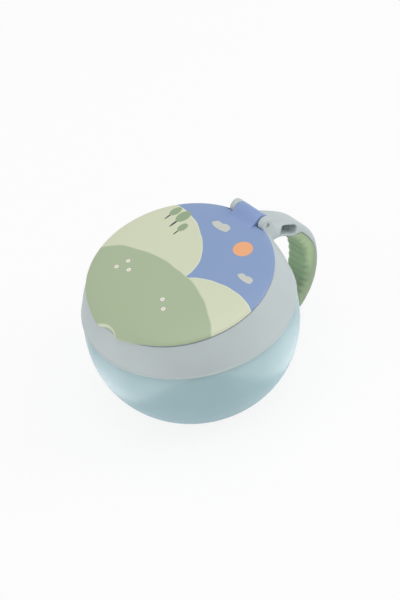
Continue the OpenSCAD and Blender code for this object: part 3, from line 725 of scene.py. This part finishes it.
def printedFilm(name, inks, forms):  # in-mould label: flat inks, each rounded form laid on the ones before
    made, tree = startMaterial(name)
    place = addNode(tree, "ShaderNodeTexCoord").outputs["Object"]
    ground = addNode(tree, "ShaderNodeRGB")
    ground.outputs[0].default_value = linearColour(inks["sky"])
    colour = ground.outputs[0]
    wobble = addNode(tree, "ShaderNodeTexNoise", {"Scale": perMetre(14), "Detail": 1.0}, {"Vector": place})
    off = addNode(tree, "ShaderNodeVectorMath", {"operation": "SUBTRACT", 1: (0.5, 0.5, 0.5)},
                  {0: wobble.outputs["Color"]})
    for form in forms:
        moved = place
        if "wave" in form:
            moved = addNode(tree, "ShaderNodeVectorMath",
                            {"operation": "MULTIPLY_ADD", 1: [form["wave"] * mm] * 3},
                            {0: off.outputs[0], 2: place}).outputs[0]
        x, y = form["at"]
        wide, high = form["size"]
        local = addNode(tree, "ShaderNodeMapping", {
            "vector_type": "TEXTURE", "Location": (x * mm, y * mm, 0),
            "Rotation": (0, 0, math.radians(form.get("turn", 0))), "Scale": (wide * mm, high * mm, 1)},
            {"Vector": moved})
        flat = addNode(tree, "ShaderNodeVectorMath", {"operation": "MULTIPLY", 1: (1, 1, 0)},
                       {0: local.outputs[0]})
        far = addNode(tree, "ShaderNodeVectorMath", {"operation": "LENGTH"}, {0: flat.outputs[0]})
        layers = [(1.0, form["ink"])]
        if "rim" in form:  # a hairline of paler ink, 0.4 mm wide
            layers = [(1.0 + 0.4 / min(form["size"]), form["rim"])] + layers
        for edge, ink in layers:
            inside = addNode(tree, "ShaderNodeMath", {"operation": "LESS_THAN", 1: edge},
                             {0: far.outputs["Value"]})
            colour = addNode(tree, "ShaderNodeMix", {"data_type": "RGBA", 7: linearColour(inks[ink])},
                             {"Factor": inside.outputs[0], 6: colour}).outputs[2]
    grain = addNode(tree, "ShaderNodeTexNoise", {"Scale": perMetre(0.5), "Detail": 3.0}, {"Vector": place})
    relief = addNode(tree, "ShaderNodeBump", {"Strength": 0.08, "Distance": 0.02 * mm},
                     {"Height": grain.outputs["Fac"]})
    wear = addNode(tree, "ShaderNodeTexNoise", {"Scale": perMetre(4), "Detail": 6.0, "Roughness": 0.7},
                   {"Vector": place})
    rough = addNode(tree, "ShaderNodeMapRange",
                    {"From Min": 0.3, "From Max": 0.75, "To Min": 0.36, "To Max": 0.46},
                    {"Value": wear.outputs["Fac"]})
    shader = addNode(tree, "ShaderNodeBsdfPrincipled", {"IOR": 1.5},
                     {"Base Color": colour, "Roughness": rough.outputs[0], "Normal": relief.outputs[0]})
    addNode(tree, "ShaderNodeOutputMaterial", links={"Surface": shader.outputs[0]})
    return made


inks = {"sky": "#859DC5", "far": "#D3D9BC", "farEdge": "#DEE3CC", "near": "#A9B998", "nearEdge": "#C3CFB3",
        "leaf": "#93A785", "sun": "#F0AC7C", "cloud": "#C9CCC3", "dark": "#3F4143", "white": "#F3F4F2"}
landscape = [
    {"at": (-26, 2), "size": (33, 22), "turn": -12, "ink": "far", "rim": "farEdge", "wave": 3},
    {"at": (28, -14), "size": (27, 17), "turn": 14, "ink": "far", "rim": "farEdge", "wave": 3},
    {"at": (-6, -41), "size": (54, 37), "turn": 5, "ink": "near", "rim": "nearEdge", "wave": 3},
    {"at": (15, 24), "size": (4.6, 4.6), "ink": "sun"},
    {"at": (0, -55.3), "size": (10.9, 10.9), "ink": "far"},  # painted highlight: pale ink on the edge and wall of the thumb scoop
]
for x, y, size in ((-29, 17, 1.0), (-23, 15.5, 1.25), (-17.5, 12, 0.85)):  # trees on the far hill
    landscape += [{"at": (x, y), "size": (0.45 * size, 2.6 * size), "ink": "dark"},
                  {"at": (x, y + 4.4 * size), "size": (2.3 * size, 3.4 * size), "ink": "leaf"}]
for x, y, size in ((-4, 27, 1.0), (29, 12, 0.8)):  # clouds, each of three rounds
    for dx, dy, wide, high in ((0, 0, 5.2, 1.7), (2.2, 1.3, 2.9, 1.8), (-2.2, 0.9, 2.3, 1.4)):
        landscape.append({"at": (x + dx * size, y + dy * size), "size": (wide * size, high * size),
                          "ink": "cloud"})
for x, y in ((-22, -14), (-17.5, -17.5), (-24, -19.5), (9, -20), (13.5, -23.5)):  # flowers on the near hill
    landscape += [{"at": (x, y), "size": (1.0, 1.0), "ink": "white"},
                  {"at": (x, y), "size": (0.42, 0.42), "ink": "sun"}]
lidPrint = printedFilm("lidPrint", inks, landscape)


def dress(piece, material, slot, body, *stands):
    piece.data.materials.clear()
    piece.data.materials.append(material)
    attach(piece, body)
    if stands:
        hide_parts(*stands)


dress(bowlBody, bowlPolypropylene, "bowl_plastic", "bowl", "bowl")
dress(bowlThread, bowlPolypropylene, "bowl_plastic", "bowl")
dress(collarShell, collarPolypropylene, "collar_plastic", "collar", "collar")
dress(collarThread, collarPolypropylene, "collar_plastic", "collar")
dress(handleMoulding, collarPolypropylene, "collar_plastic", "collar", "handle")
dress(handleGrip, gripElastomer, "grip_rubber", "collar", "handle_grip")
dress(hingePin, pinAcetal, "pin_plastic", "collar", "hinge_pin")
dress(lidBody, lidPolypropylene, "lid_plastic", "lid", "lid")
dress(lidFilm, lidPrint, "lid_print", "lid", "lid_film")
dress(flapRing, guardSilicone, "guard_rubber", "guard", "flap_ring")
for i, piece in enumerate(leaves):
    dress(piece, guardSilicone, "guard_rubber", "flap_%d" % (i + 1), "flap_%d" % (i + 1))
print("materials on every piece")

# Camera, floor and lights

view = {"aim": (0, 0, 40 * mm), "azimuth": 55.5, "elevation": 43.1, "roll": 10.0, "distance": 1.2,
        "focalPixels": 2601.6, "aimPixel": (191.5, 315.9), "picture": (400, 600), "sensor": 36}
azimuth, elevation = math.radians(view["azimuth"]), math.radians(view["elevation"])
back = Vector((math.sin(azimuth) * math.cos(elevation), -math.cos(azimuth) * math.cos(elevation),
               math.sin(elevation)))
turn = back.to_track_quat("Z", "Y") @ Quaternion((0, 0, 1), math.radians(-view["roll"]))
perPixel = view["distance"] / view["focalPixels"]
offRight = (view["picture"][0] / 2 - view["aimPixel"][0]) * perPixel
offUp = (view["aimPixel"][1] - view["picture"][1] / 2) * perPixel
aim = Vector(view["aim"]) + turn @ Vector((offRight, offUp, 0))
bpy.ops.object.camera_add(location=aim + back * view["distance"])
camera = bpy.context.object
camera.name = "photoCamera"
camera.rotation_mode = "QUATERNION"
camera.rotation_quaternion = turn
camera.data.sensor_width = view["sensor"]
camera.data.lens = view["sensor"] * view["focalPixels"] / max(view["picture"])
camera.data.clip_start, camera.data.clip_end = 0.05, 20
scene.camera = camera

bpy.ops.mesh.primitive_plane_add(size=6, location=(0, 0, 0))
floor = bpy.context.object
floor.name = "floor"
made, tree = startMaterial("whitePaperFloor")  # matt card: white where it is seen, with the shadow left in
white = {"seen": 0.86, "mirrored": 0.35, "stripLevel": 1.3, "stripAside": (0.042, 0.058),
         "stripAhead": (-0.03, 0.03)}
rays = addNode(tree, "ShaderNodeLightPath").outputs
mirrored = addNode(tree, "ShaderNodeMath", {"operation": "MAXIMUM"},
                   {0: rays["Is Glossy Ray"], 1: rays["Is Transmission Ray"]})
some = addNode(tree, "ShaderNodeMath", {"operation": "MULTIPLY", 1: white["mirrored"]},
               {0: mirrored.outputs[0]})
share = addNode(tree, "ShaderNodeMath", {"operation": "MULTIPLY_ADD", 1: white["seen"]},
                {0: rays["Is Camera Ray"], 2: some.outputs[0]})
paper = addNode(tree, "ShaderNodeBsdfDiffuse", {"Color": linearColour("#F4F4F4")})
bright = addNode(tree, "ShaderNodeEmission", {"Color": linearColour("#FFFFFF"), "Strength": 1.0})
mixed = addNode(tree, "ShaderNodeMixShader", links={0: share.outputs[0], 1: paper.outputs[0],
                                                    2: bright.outputs[0]})
place = addNode(tree, "ShaderNodeTexCoord").outputs["Object"]  # painted reflections: two glowing strips on the paper, seen only by reflected and transmitted rays
aside = addNode(tree, "ShaderNodeVectorMath", {"operation": "DOT_PRODUCT", 1: (0.566, 0.824, 0)}, {0: place})
ahead = addNode(tree, "ShaderNodeVectorMath", {"operation": "DOT_PRODUCT", 1: (0.824, -0.566, 0)}, {0: place})
either = addNode(tree, "ShaderNodeMath", {"operation": "ABSOLUTE"}, {0: aside.outputs["Value"]})
strips = addNode(tree, "ShaderNodeMapRange",
                 {"interpolation_type": "SMOOTHSTEP", "From Min": white["stripAside"][0],
                  "From Max": white["stripAside"][1], "To Max": white["stripLevel"]},
                 {"Value": either.outputs[0]})
front = addNode(tree, "ShaderNodeMapRange",
                {"interpolation_type": "SMOOTHSTEP", "From Min": white["stripAhead"][0],
                 "From Max": white["stripAhead"][1]}, {"Value": ahead.outputs["Value"]})
level = addNode(tree, "ShaderNodeMath", {"operation": "MULTIPLY"},
                {0: strips.outputs[0], 1: front.outputs[0]})
level = addNode(tree, "ShaderNodeMath", {"operation": "MULTIPLY"},
                {0: level.outputs[0], 1: mirrored.outputs[0]})
glow = addNode(tree, "ShaderNodeEmission", {"Color": linearColour("#FFFFFF")}, {"Strength": level.outputs[0]})
both = addNode(tree, "ShaderNodeAddShader", links={0: mixed.outputs[0], 1: glow.outputs[0]})
addNode(tree, "ShaderNodeOutputMaterial", links={"Surface": both.outputs[0]})
floor.data.materials.append(made)


def softLamp(name, place, target, size, power):
    bpy.ops.object.light_add(type="AREA", location=place)
    lamp = bpy.context.object
    lamp.name = name
    lamp.data.shape = "RECTANGLE"
    lamp.data.size, lamp.data.size_y = size
    lamp.data.energy = power
    lamp.visible_camera = False
    lamp.rotation_mode = "QUATERNION"
    lamp.rotation_quaternion = (Vector(place) - Vector(target)).to_track_quat("Z", "Y")
    return lamp


softLamp("softLeft", (-0.35, -1.2, 0.55), (0, 0, 0.05), (0.7, 0.7), 2.7)
softLamp("softRight", (0.75, 0.95, 0.7), (0, 0, 0.05), (0.7, 0.7), 4.6)
softLamp("softTop", (0.1, 0.1, 1.3), (0, 0, 0.05), (1.2, 1.2), 5)

world = bpy.data.worlds.new("paleStudio")
scene.world = world
world.use_nodes = True
world.node_tree.nodes.clear()
tree = world.node_tree
rays = addNode(tree, "ShaderNodeLightPath").outputs
seen = addNode(tree, "ShaderNodeMath", {"operation": "MAXIMUM"},
               {0: rays["Is Camera Ray"], 1: rays["Is Glossy Ray"]})
seen = addNode(tree, "ShaderNodeMath", {"operation": "MAXIMUM"},
               {0: seen.outputs[0], 1: rays["Is Transmission Ray"]})
level = addNode(tree, "ShaderNodeMapRange", {"To Min": 0.53, "To Max": 1.0}, {"Value": seen.outputs[0]})
glow = addNode(tree, "ShaderNodeBackground", {"Color": (1, 1, 1, 1)}, {"Strength": level.outputs[0]})
addNode(tree, "ShaderNodeOutputWorld", links={"Surface": glow.outputs[0]})

scene.view_settings.view_transform = "Standard"
